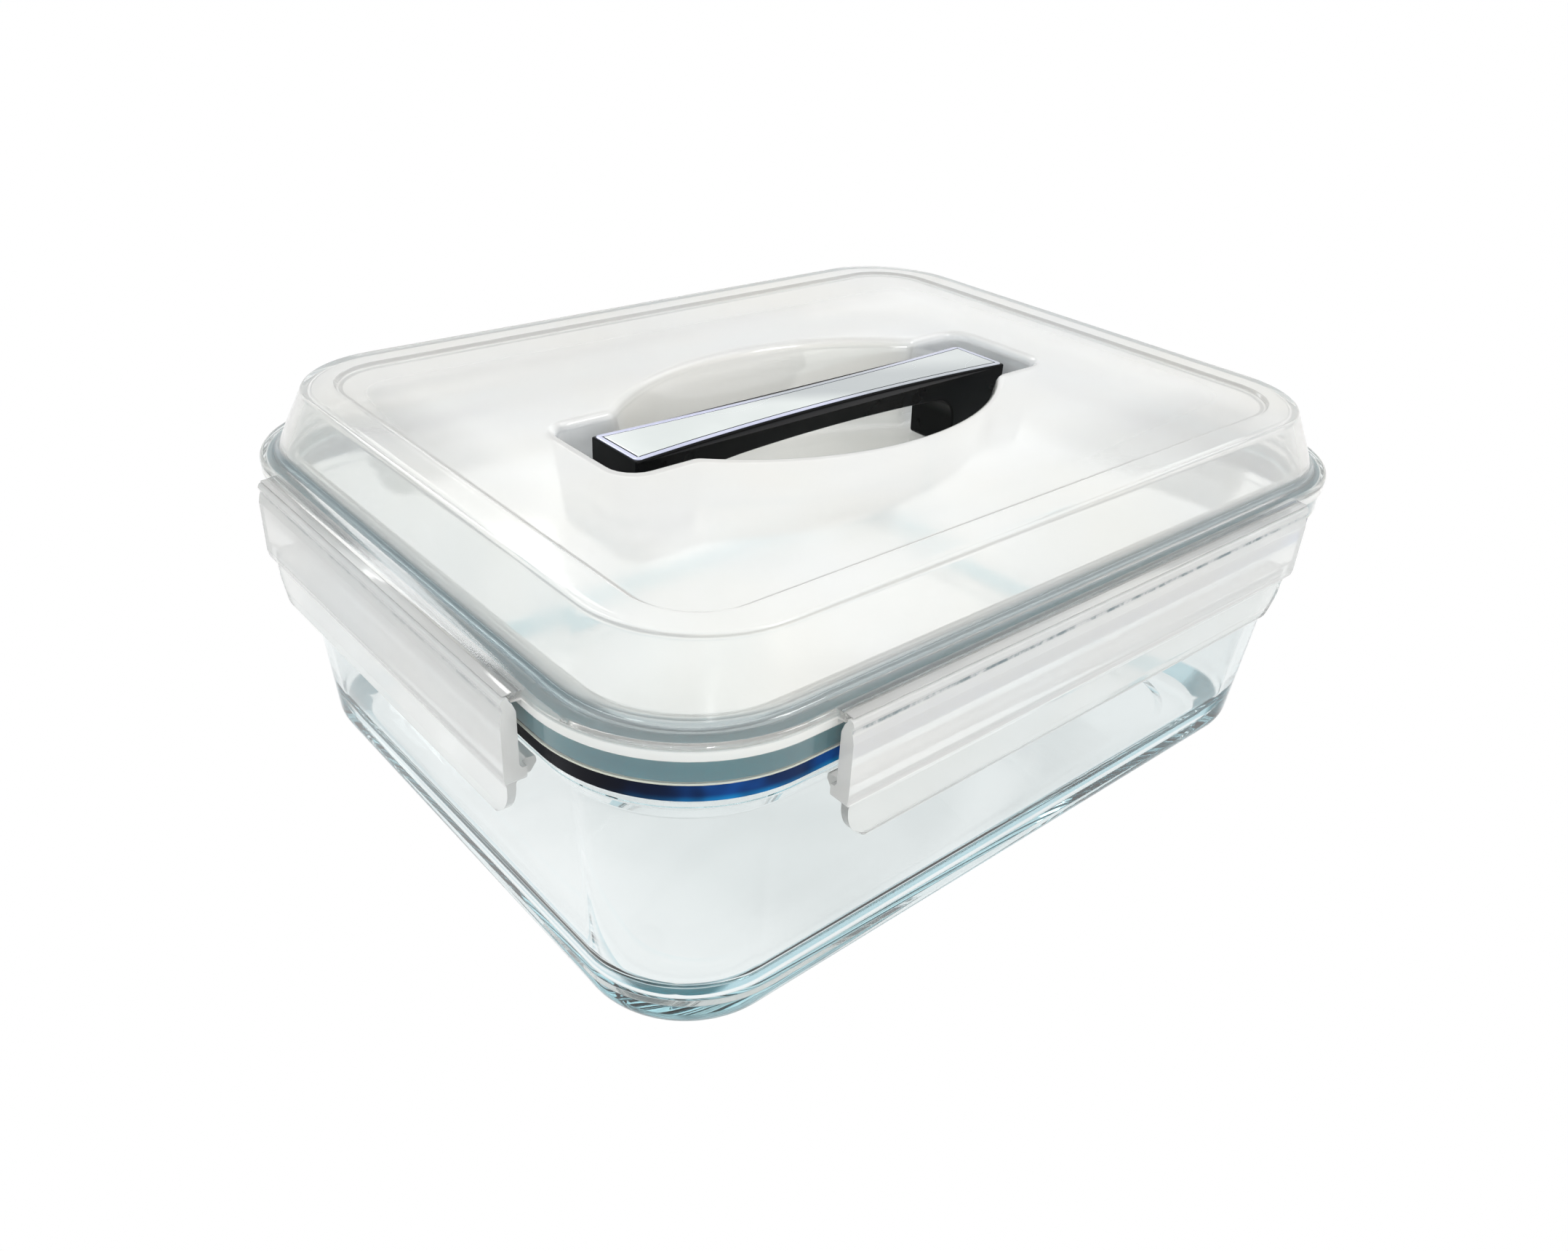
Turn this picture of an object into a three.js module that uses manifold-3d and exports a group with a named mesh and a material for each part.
// Rectangular glass food container with a four-sided snap lid and a carrying handle.
//
// Frame: millimetres, +Z up, +X along the long side, +Y along the short side, front at -Y.
// Origin at the centre of the glass bowl's underside, on the table plane.
//
// The bowl is one glass pressing with a thick rim. The lid is one moulding: a
// domed cover with a flange, a skirt outside the rim, a locating rib inside it
// and a deep hand well in the middle. A soft gasket lies under the flange. Four
// latches hang from the flange on thin living hinges, and a bead along the
// inside of each latch catches under the glass rim. An arched handle stands on
// two legs in the ends of the hand well and carries a thin cover plate.

import * as THREE from 'three';
import { mergeVertices } from 'three/addons/utils/BufferGeometryUtils.js';
import Module from 'manifold-3d';

const wasm = await Module();
wasm.setup();

// ---------------------------------------------------------------- dimensions
// A rounded rectangle is { halfX, halfY, corner }: half length, half width and
// corner radius. Where it lies at one height, z is given with it.
// "low" and "top" are heights.

const CORNER_STEPS = 10;        // chords in each rounded corner
const HEEL_STEPS = 4;           // chords in the rounding between bowl wall and base
const POST_SEGMENTS = 24;
const CURVE_SEGMENTS = 6;       // chords in each curve of an extruded shape
const SPAN_STEPS = 16;          // stretches along the handle and its plate
const OVERLAP = 1;              // how far joined parts run into each other

// glass bowl
const BOWL_FOOT = { halfX: 127.3, halfY: 98.1, corner: 28 };    // at z = 0
const BOWL_NECK = { halfX: 133.3, halfY: 103.4, corner: 33, z: 70 };
const BOWL_FLARE = { halfX: 134.4, halfY: 104.4, corner: 34.4, z: 73.6 };
const BOWL_WALL = { heel: 4.6, neck: 4.7, mouth: 4.8, mouthCorner: 4.2 };
const BOWL_BASE = 5.6;
const HEEL_RADIUS = { outer: 11.9, inner: 13 };
const RIM = { halfX: 137.2, halfY: 106.8, corner: 38.2, low: 77.6, top: 89.0 };
const RIM_TOP_EDGE = 1.5;       // bevel of the rim's top edges
const RIM_LOW_EDGE = 0.8;       // bevel of its lower outer edge

// lid flange, skirt and locating rib
const FLANGE = { halfX: 140.0, halfY: 109.4, corner: 41.2, top: 95.5, under: 93.3, edge: 0.9 };
const SKIRT = { wall: 1.8, low: 84.6 };
const LEDGE = { out: 2.6, top: 95.3 };  // flange running out along each side
const RIB_HALF_X = 129.4;
const RIB = {
  halfX: RIB_HALF_X,
  halfY: RIB_HALF_X - (BOWL_NECK.halfX - BOWL_NECK.halfY),
  corner: 29,
  wall: 2.0,
  low: 84.0,
};

// lid dome, from its foot up to the top band and in to the sunken tray
const DOME_FOOT = { halfX: 135.2, halfY: 104.9, corner: 36.1 };
const DOME_SIDE = { halfX: 129.6, halfY: 100.2, corner: 33.0, z: 107.5 };
const DOME_EDGE = { halfX: 127.1, halfY: 98.2, corner: 31.5, z: 112.3 };
const BAND = { halfX: 124.6, halfY: 95.7, corner: 29.0, z: 113.6 };
const TRAY = { halfX: 117.2, halfY: 88.4, corner: 19.0, z: 112.7, slope: 1.2 };
const LID_WALL = 2.0;
// inner face of the dome: insets from, and drops below, the outer stations
const DOME_INNER = { footInset: LID_WALL + 0.2, sideDrop: 0.4, edgeDrop: 1.2, bandInset: 1.4 };

// hand well in the lid: two end slots joined by a lens-shaped bulge.
// bulgeX is where the bulge's arc meets the slots, bulgeY its half width at x = 0
const WELL_TOP = { halfX: 81.5, slotY: 18.6, corner: 7.0, bulgeY: 41.6, bulgeX: 60.0 };
const WELL_LOW = { halfX: 78.6, slotY: 16.6, corner: 6.0, bulgeY: 30.4, bulgeX: 54.5 };
const WELL_STEPS = { corner: 5, bulge: 7 };
const WELL_FLOOR = 84.6;
const WELL_WALL = 1.9;
const WELL_TUB_DROP = 0.2;      // the tub's outside stops this far below the tray
const WELL_OVERCUT = 3;         // how far the hollow is cut past the tray's top

// blind sockets under the well floor that hold the handle's pegs
const SOCKET = { x: 62.0, radius: 6.2, bore: 4.1, low: 76.6, base: 1.8, overlap: 0.5 };
const PEG = { radius: 3.8, low: 79.0 };

// gasket lying on the rim, with an apron that hangs between rim and skirt;
// apronOut and apronIn are measured out from the rim's side, inner is inwards
const GASKET = {
  apronOut: 0.7,
  apronIn: 0.3,
  apronLow: 85.2,
  inner: 6.1,
  low: 89.3,
  top: 93.0,
  bevel: { across: 0.5, up: 0.6 },
};

// latches: "in" and "out" are distances out from the flange's straight sides,
// "inset" is how far a part stops short of the latch's ends
const LATCH_HALF_LONG = 91.0;   // half length on the long sides
const LATCH_HALF_SHORT = 65.0;  // half length on the short sides
const PANEL = { in: 1.2, out: 5.2, low: 72.0, top: 93.1, corner: 2 };
const TAB = { in: PANEL.in + 0.2, out: 3.7, low: 59.5, inset: 2.0, corner: 10.5 };
const WEB = { in: 2.9, out: 4.3, low: 93.4, top: 95.1, inset: 1 };
const CATCH = { in: -4.3, out: 0.9, low: 71.6, top: 75.8, inset: 2.6, bevel: 0.8, lead: 1.6 };

// handle: values at mid length and at the ends of the strap
const GRIP_HALF = 72.9;         // half length over the ends
const GRIP_HALF_Y = { mid: 7.8, end: 10.7 };
const GRIP_TOP = { mid: 111.4, end: 110.9 };
const GRIP_LOW = { mid: 104.0, end: 102.0 };
const GRIP_EDGE = { top: 0.9, low: 2.2 };       // bevels of the strap's edges
const GRIP_END = { setback: 0.9, rise: 0.4 };   // end bevel; rise is its share in height
const LEG = {
  in: 51.6,                     // inner face
  low: WELL_FLOOR + 0.3,
  top: GRIP_LOW.end + 4,
  draft: { in: 1.0, out: 1.4 },
  sideInset: 0.15,
  fillet: { reach: 9.0, drop: 7.5, endRise: 0.3, bendRise: 0.6 },
};

// cover plate; "edge" is the width of grip left uncovered along each side
const PLATE = { half: 70.5, edge: 2.1, depth: 1.3, gap: 0.3, drop: 0.05, pinch: 1.2 };
// thin border of the plate, over the grip's top face
const BORDER = { half: 72.4, edge: 0.5, thickness: 0.25, seat: 0.3 };
const GRIP_CUT = { end: 3, side: 2, up: 3 };    // how far cutters run past the grip

// ------------------------------------------------------------- shape helpers
// outline of a rounded rectangle, counter-clockwise seen from above
function roundRect({ halfX, halfY, corner }, z, inset = 0) {
  const radius = corner - inset;
  const x = halfX - inset - radius;
  const y = halfY - inset - radius;
  const points = [];
  for (const [centreX, centreY, from] of [[x, y, 0], [-x, y, 90], [-x, -y, 180], [x, -y, 270]]) {
    for (let k = 0; k <= CORNER_STEPS; k++) {
      const angle = THREE.MathUtils.degToRad(from + (90 * k) / CORNER_STEPS);
      points.push(new THREE.Vector3(
        centreX + radius * Math.cos(angle), centreY + radius * Math.sin(angle), z));
    }
  }
  return points;
}

// closed body through a run of outlines that share one point count; the ends
// are capped, or joined to each other when the run is a loop
function loft(rings, loop = false) {
  const count = rings[0].length;
  const position = rings.flat().flatMap((point) => point.toArray());
  const index = [];
  const runs = loop ? rings.length : rings.length - 1;
  for (let i = 0; i < runs; i++) {
    const here = i * count;
    const next = ((i + 1) % rings.length) * count;
    for (let k = 0; k < count; k++) {
      const m = (k + 1) % count;
      index.push(here + k, here + m, next + m, here + k, next + m, next + k);
    }
  }
  const cap = (ringIndex, reversed) => {
    const start = ringIndex * count;
    const hub = position.length / 3;
    const middle = new THREE.Vector3();
    for (const point of rings[ringIndex]) middle.add(point);
    position.push(...middle.divideScalar(count).toArray());
    for (let k = 0; k < count; k++) {
      const here = start + k;
      const next = start + ((k + 1) % count);
      index.push(hub, ...(reversed ? [next, here] : [here, next]));
    }
  };
  if (!loop) {
    cap(0, true);
    cap(rings.length - 1, false);
  }
  const geometry = new THREE.BufferGeometry();
  geometry.setAttribute('position', new THREE.Float32BufferAttribute(position, 3));
  geometry.setIndex(index);
  // faces must look outwards whichever way the run of outlines goes
  if (signedVolume(geometry) < 0) {
    for (let k = 0; k < index.length; k += 3) {
      [index[k + 1], index[k + 2]] = [index[k + 2], index[k + 1]];
    }
    geometry.setIndex(index);
  }
  return geometry;
}

function signedVolume(geometry) {
  const position = geometry.getAttribute('position');
  const index = geometry.getIndex();
  const corner = (k) => new THREE.Vector3().fromBufferAttribute(position, index.getX(k));
  let sum = 0;
  for (let k = 0; k < index.count; k += 3) {
    sum += corner(k).dot(corner(k + 1).cross(corner(k + 2))) / 6;
  }
  return sum;
}

// geometry to manifold body, for joining and cutting
function solid(geometry) {
  const bare = geometry.clone();
  bare.deleteAttribute('normal');
  bare.deleteAttribute('uv');
  const merged = mergeVertices(bare, 1e-4);
  return new wasm.Manifold(new wasm.Mesh({
    numProp: 3,
    vertProperties: Float32Array.from(merged.getAttribute('position').array),
    triVerts: Uint32Array.from(merged.getIndex().array),
  }));
}

function geometryOf(body) {
  const mesh = body.getMesh();
  const geometry = new THREE.BufferGeometry();
  geometry.setAttribute('position', new THREE.Float32BufferAttribute(mesh.vertProperties, 3));
  geometry.setIndex(Array.from(mesh.triVerts));
  return geometry;
}

// box centred on x = 0
function bar(half, yLow, yHigh, zLow, zHigh) {
  const geometry = new THREE.BoxGeometry(2 * half, yHigh - yLow, zHigh - zLow);
  return geometry.translate(0, (yLow + yHigh) / 2, (zLow + zHigh) / 2);
}

// solid upright cylinder on y = 0
function post(radius, x, zLow, zHigh) {
  const geometry = new THREE.CylinderGeometry(radius, radius, zHigh - zLow, POST_SEGMENTS);
  geometry.rotateX(Math.PI / 2);
  return solid(geometry.translate(x, 0, (zLow + zHigh) / 2));
}

function extrude(shape, depth) {
  return new THREE.ExtrudeGeometry(shape, {
    depth, bevelEnabled: false, curveSegments: CURVE_SEGMENTS,
  });
}

// shape drawn in X and Z, extruded between two values of y
function extrudeAlongY(shape, yLow, yHigh) {
  const geometry = extrude(shape, yHigh - yLow);
  geometry.rotateX(Math.PI / 2);      // shape's y becomes z, depth runs towards -Y
  return geometry.translate(0, yHigh, 0);
}

// ---------------------------------------------------------------- glass bowl
// outer wall at height z, on the straight line from foot through neck
function bowlWall(z) {
  const share = z / BOWL_NECK.z;
  const between = (key) => BOWL_FOOT[key] + (BOWL_NECK[key] - BOWL_FOOT[key]) * share;
  return { halfX: between('halfX'), halfY: between('halfY'), corner: between('corner') };
}

function bowlRing(z, inset) {
  return roundRect(bowlWall(z), z, inset);
}

// rounding from a floor up to a wall, lowest ring first
function heelRings(floor, inset, radius) {
  const rings = [];
  for (let k = 0; k <= HEEL_STEPS; k++) {
    const angle = (Math.PI / 2) * (k / HEEL_STEPS);
    const z = floor + radius * (1 - Math.cos(angle));
    rings.push(bowlRing(z, inset + radius * (1 - Math.sin(angle))));
  }
  return rings;
}

function bowlGeometry() {
  const lip = bowlWall(RIM.top);
  const mouth = {
    halfX: lip.halfX - BOWL_WALL.mouth,
    halfY: lip.halfY - BOWL_WALL.mouth,
    corner: lip.corner - BOWL_WALL.mouthCorner,
  };
  return loft([
    // up the outside
    ...heelRings(0, 0, HEEL_RADIUS.outer),
    bowlRing(BOWL_NECK.z, 0),
    roundRect(BOWL_FLARE, BOWL_FLARE.z),
    roundRect(RIM, RIM.low - RIM_LOW_EDGE, RIM_LOW_EDGE),
    roundRect(RIM, RIM.low),
    roundRect(RIM, RIM.top - RIM_TOP_EDGE),
    roundRect(RIM, RIM.top, RIM_TOP_EDGE),
    // down the inside
    roundRect(mouth, RIM.top, -RIM_TOP_EDGE),
    roundRect(mouth, RIM.top - RIM_TOP_EDGE),
    bowlRing(BOWL_NECK.z, BOWL_WALL.neck),
    ...heelRings(BOWL_BASE, BOWL_WALL.heel, HEEL_RADIUS.inner).reverse(),
  ]);
}

// ----------------------------------------------------------------- lid shell
// the lid's four sides: a latch frame has its origin on the flange's straight
// side, and its -Y points away from the lid
const SIDES = [
  { name: 'front', x: 0, y: -FLANGE.halfY, turn: 0, half: LATCH_HALF_LONG },
  { name: 'right', x: FLANGE.halfX, y: 0, turn: Math.PI / 2, half: LATCH_HALF_SHORT },
  { name: 'back', x: 0, y: FLANGE.halfY, turn: Math.PI, half: LATCH_HALF_LONG },
  { name: 'left', x: -FLANGE.halfX, y: 0, turn: -Math.PI / 2, half: LATCH_HALF_SHORT },
];

// dome, flange, skirt and rib in one run, from the tray's top face outwards,
// round the skirt and back in to the tray's underside
function lidCover() {
  return solid(loft([
    roundRect(TRAY, TRAY.z, TRAY.slope),
    roundRect(TRAY, BAND.z),
    roundRect(BAND, BAND.z),
    roundRect(DOME_EDGE, DOME_EDGE.z),
    roundRect(DOME_SIDE, DOME_SIDE.z),
    roundRect(DOME_FOOT, FLANGE.top),
    roundRect(FLANGE, FLANGE.top, FLANGE.edge),
    roundRect(FLANGE, FLANGE.top - FLANGE.edge),
    roundRect(FLANGE, SKIRT.low),
    roundRect(FLANGE, SKIRT.low, SKIRT.wall),
    roundRect(FLANGE, FLANGE.under, SKIRT.wall),
    roundRect(RIB, FLANGE.under),
    roundRect(RIB, RIB.low),
    roundRect(RIB, RIB.low, RIB.wall),
    roundRect(RIB, FLANGE.top, RIB.wall),
    roundRect(DOME_FOOT, FLANGE.top, DOME_INNER.footInset),
    roundRect(DOME_SIDE, DOME_SIDE.z - DOME_INNER.sideDrop, LID_WALL),
    roundRect(DOME_EDGE, DOME_EDGE.z - DOME_INNER.edgeDrop, LID_WALL),
    roundRect(BAND, TRAY.z - LID_WALL, DOME_INNER.bandInset),
  ]));
}

// outline of the hand well: end slots with rounded corners and, between them,
// an arc that bulges out on both sides
function wellOutline(shape, z, grow = 0) {
  const halfX = shape.halfX + grow;
  const slotY = shape.slotY + grow;
  const corner = shape.corner + grow;
  const bulgeY = shape.bulgeY + grow;
  const rise = bulgeY - slotY;
  const radius = (shape.bulgeX ** 2 + rise ** 2) / (2 * rise);
  const centreY = bulgeY - radius;
  const quarter = [];
  for (let k = 0; k <= WELL_STEPS.corner; k++) {
    const angle = (Math.PI / 2) * (k / WELL_STEPS.corner);
    quarter.push([
      halfX - corner + corner * Math.cos(angle),
      slotY - corner + corner * Math.sin(angle),
    ]);
  }
  const start = Math.asin(shape.bulgeX / radius);
  for (let k = 0; k < WELL_STEPS.bulge; k++) {
    const angle = start * (1 - k / WELL_STEPS.bulge);
    quarter.push([radius * Math.sin(angle), centreY + radius * Math.cos(angle)]);
  }
  const half = [...quarter, [0, bulgeY], ...quarter.map(([x, y]) => [-x, y]).reverse()];
  const outline = [...half, ...half.map(([x, y]) => [-x, -y])];
  return outline.map(([x, y]) => new THREE.Vector3(x, y, z));
}

// hollow of the well, its sloping walls carried on past the tray
function wellHollow() {
  const share = WELL_OVERCUT / (TRAY.z - WELL_FLOOR);
  const above = {};
  for (const key of Object.keys(WELL_TOP)) {
    above[key] = WELL_TOP[key] + (WELL_TOP[key] - WELL_LOW[key]) * share;
  }
  return solid(loft([
    wellOutline(WELL_LOW, WELL_FLOOR),
    wellOutline(above, TRAY.z + WELL_OVERCUT),
  ]));
}

function lidGeometry() {
  let lid = lidCover();
  for (const { x, y, turn, half } of SIDES) {
    const ledge = bar(half, -LEDGE.out, OVERLAP, FLANGE.under, LEDGE.top);
    lid = lid.add(solid(ledge.rotateZ(turn).translate(x, y, 0)));
  }
  // hand well: a thin-walled tub let into the tray, with two blind sockets
  const tubLow = WELL_FLOOR - WELL_WALL;
  lid = lid.add(solid(loft([
    wellOutline(WELL_LOW, tubLow, WELL_WALL),
    wellOutline(WELL_TOP, TRAY.z - WELL_TUB_DROP, WELL_WALL),
  ])));
  const socketXs = [-SOCKET.x, SOCKET.x];
  for (const x of socketXs) {
    lid = lid.add(post(SOCKET.radius, x, SOCKET.low, tubLow + SOCKET.overlap));
  }
  lid = lid.subtract(wellHollow());
  const boreLow = SOCKET.low + SOCKET.base;
  for (const x of socketXs) {
    lid = lid.subtract(post(SOCKET.bore, x, boreLow, WELL_FLOOR + SOCKET.overlap));
  }
  return geometryOf(lid);
}

// -------------------------------------------------------------------- gasket
function gasketGeometry() {
  const { apronOut, apronIn, apronLow, inner, low, top, bevel } = GASKET;
  return loft([
    roundRect(RIM, apronLow, -apronOut),
    roundRect(RIM, top, -apronOut),
    roundRect(RIM, top, inner - bevel.across),
    roundRect(RIM, top - bevel.up, inner),
    roundRect(RIM, low + bevel.up, inner),
    roundRect(RIM, low, inner - bevel.across),
    roundRect(RIM, low, -apronIn),
    roundRect(RIM, apronLow, -apronIn),
  ], true);
}

// ------------------------------------------------------------------- latches
// Each latch is drawn in its latch frame (see SIDES) and placed by its group.

function latchGeometry(half) {
  const panel = new THREE.Shape();
  panel.moveTo(-half, PANEL.top);
  panel.lineTo(-half, PANEL.low + PANEL.corner);
  panel.quadraticCurveTo(-half, PANEL.low, -half + PANEL.corner, PANEL.low);
  panel.lineTo(half - PANEL.corner, PANEL.low);
  panel.quadraticCurveTo(half, PANEL.low, half, PANEL.low + PANEL.corner);
  panel.lineTo(half, PANEL.top);
  panel.closePath();

  // finger tab below the panel
  const end = half - TAB.inset;
  const arcX = end - TAB.corner;
  const arcZ = TAB.low + TAB.corner;
  const tab = new THREE.Shape();
  tab.moveTo(-end, PANEL.low + OVERLAP);
  tab.lineTo(-end, arcZ);
  tab.absarc(-arcX, arcZ, TAB.corner, Math.PI, 1.5 * Math.PI, false);
  tab.absarc(arcX, arcZ, TAB.corner, 1.5 * Math.PI, 2 * Math.PI, false);
  tab.lineTo(end, PANEL.low + OVERLAP);
  tab.closePath();

  const panelBody = solid(extrudeAlongY(panel, -PANEL.out, -PANEL.in));
  const tabBody = solid(extrudeAlongY(tab, -TAB.out, -TAB.in));
  return geometryOf(panelBody.add(tabBody));
}

function webGeometry(half) {
  return bar(half - WEB.inset, -WEB.out, -WEB.in, WEB.low, WEB.top);
}

function catchGeometry(half) {
  const bead = new THREE.Shape();
  bead.moveTo(-CATCH.out, CATCH.low);
  bead.lineTo(-CATCH.out, CATCH.top);
  bead.lineTo(-CATCH.in - CATCH.bevel, CATCH.top);
  bead.lineTo(-CATCH.in, CATCH.top - CATCH.bevel);
  bead.lineTo(-CATCH.in - CATCH.lead, CATCH.low);
  bead.closePath();
  const beadHalf = half - CATCH.inset;
  const geometry = extrude(bead, 2 * beadHalf);
  geometry.translate(0, 0, -beadHalf);
  // the section lies in the Y-Z plane and runs along X
  return geometry.applyMatrix4(new THREE.Matrix4().makeBasis(
    new THREE.Vector3(0, 1, 0), new THREE.Vector3(0, 0, 1), new THREE.Vector3(1, 0, 0)));
}

// -------------------------------------------------------------------- handle
// value at x that changes with the square of the distance from mid length
function alongGrip({ mid, end }, x) {
  const share = Math.min(1, Math.abs(x) / GRIP_HALF);
  return mid + (end - mid) * share * share;
}

// solid along X through section(x, shrink); only the two end sections shrink,
// by as much as the next ones are set back from them
function spanBody(half, setback, section) {
  const rings = [section(-half, setback)];
  for (let k = 0; k <= SPAN_STEPS; k++) {
    rings.push(section((half - setback) * (-1 + (2 * k) / SPAN_STEPS), 0));
  }
  rings.push(section(half, setback));
  return solid(loft(rings));
}

function sectionAt(x, points) {
  return points.map(([y, z]) => new THREE.Vector3(x, y, z));
}

// section of the strap across X, with its edges bevelled
function strapSection(x, shrink) {
  const side = alongGrip(GRIP_HALF_Y, x) - shrink;
  const top = alongGrip(GRIP_TOP, x) - shrink * GRIP_END.rise;
  const low = alongGrip(GRIP_LOW, x) + shrink * GRIP_END.rise;
  const edge = GRIP_EDGE;
  return sectionAt(x, [
    [side, low + edge.low], [side, top - edge.top],
    [side - edge.top, top], [-side + edge.top, top],
    [-side, top - edge.top], [-side, low + edge.low],
    [-side + edge.low, low], [side - edge.low, low],
  ]);
}

// drafted block at the +X end, with a fillet on its inner face under the strap
function legGeometry() {
  const { draft, fillet } = LEG;
  const filletX = LEG.in - fillet.reach;
  const leg = new THREE.Shape();
  leg.moveTo(LEG.in + draft.in, LEG.low);
  leg.lineTo(GRIP_HALF - draft.out, LEG.low);
  leg.lineTo(GRIP_HALF, LEG.top);
  leg.lineTo(filletX, LEG.top);
  leg.lineTo(filletX, alongGrip(GRIP_LOW, filletX) + fillet.endRise);
  leg.quadraticCurveTo(
    LEG.in, GRIP_LOW.end + fillet.bendRise, LEG.in, GRIP_LOW.end - fillet.drop);
  leg.closePath();
  const halfY = alongGrip(GRIP_HALF_Y, LEG.in) - LEG.sideInset;
  return extrudeAlongY(leg, -halfY, halfY);
}

// strip that follows the grip's top face; low and top are heights from that face
function plateBody({ half, edge, low, top }) {
  return spanBody(half, PLATE.pinch, (x, pinch) => {
    const side = alongGrip(GRIP_HALF_Y, x) - edge - pinch;
    const face = alongGrip(GRIP_TOP, x);
    return sectionAt(x, [
      [side, face + low], [side, face + top], [-side, face + top], [-side, face + low],
    ]);
  });
}

function gripGeometry() {
  let grip = spanBody(GRIP_HALF, GRIP_END.setback, strapSection);
  for (const side of [-1, 1]) {
    const leg = legGeometry();
    if (side < 0) leg.rotateZ(Math.PI);
    grip = grip.add(solid(leg));
    grip = grip.add(post(PEG.radius, side * SOCKET.x, PEG.low, LEG.low + OVERLAP));
  }
  // level the top for the plate's border, and sink a shallow recess for its middle
  const borderSeat = plateBody({
    half: GRIP_HALF + GRIP_CUT.end, edge: -GRIP_CUT.side, low: -BORDER.seat, top: GRIP_CUT.up,
  });
  const recess = plateBody({
    half: PLATE.half + PLATE.gap,
    edge: PLATE.edge - PLATE.gap,
    low: -PLATE.depth,
    top: GRIP_CUT.up,
  });
  return geometryOf(grip.subtract(borderSeat).subtract(recess));
}

function plateGeometry() {
  const middle = plateBody({
    half: PLATE.half, edge: PLATE.edge, low: -PLATE.depth + PLATE.gap, top: -PLATE.drop,
  });
  const border = plateBody({
    half: BORDER.half, edge: BORDER.edge, low: -BORDER.thickness, top: 0,
  });
  return geometryOf(middle.add(border));
}

// ----------------------------------------------------------------- materials
function material({ color, roughness, metalness = 0, opacity = 1 }) {
  return new THREE.MeshStandardMaterial({
    color, roughness, metalness, opacity, transparent: opacity < 1,
  });
}

const glass = () => material({ color: 0xdfe9ea, roughness: 0.05, opacity: 0.4 });
const frosted = () => material({ color: 0xe9eceb, roughness: 0.38, opacity: 0.85 });
const soft = () => material({ color: 0x6f8089, roughness: 0.6 });
const black = () => material({ color: 0x0b0c0e, roughness: 0.42 });
const satinGrey = () => material({ color: 0xb9c1bd, roughness: 0.32, metalness: 0.35 });

// ------------------------------------------------------------------ assembly
function addPiece(parent, name, geometry, look) {
  const mesh = new THREE.Mesh(geometry, look);
  mesh.name = name;
  parent.add(mesh);
}

function addGroup(parent) {
  const child = new THREE.Group();
  parent.add(child);
  return child;
}

const group = new THREE.Group();
addPiece(group, 'glass_bowl', bowlGeometry(), glass());

const lid = addGroup(group);
addPiece(lid, 'lid_shell', lidGeometry(), frosted());
addPiece(lid, 'lid_gasket', gasketGeometry(), soft());

for (const { name, x, y, turn, half } of SIDES) {
  const flap = addGroup(lid);
  flap.position.set(x, y, 0);
  flap.rotation.z = turn;
  addPiece(flap, `latch_${name}`, latchGeometry(half), frosted());
  addPiece(flap, `hinge_web_${name}`, webGeometry(half), frosted());
  addPiece(flap, `catch_bead_${name}`, catchGeometry(half), frosted());
}

const handle = addGroup(lid);
addPiece(handle, 'handle_grip', gripGeometry(), black());
addPiece(handle, 'handle_cover_plate', plateGeometry(), satinGrey());

export default group;
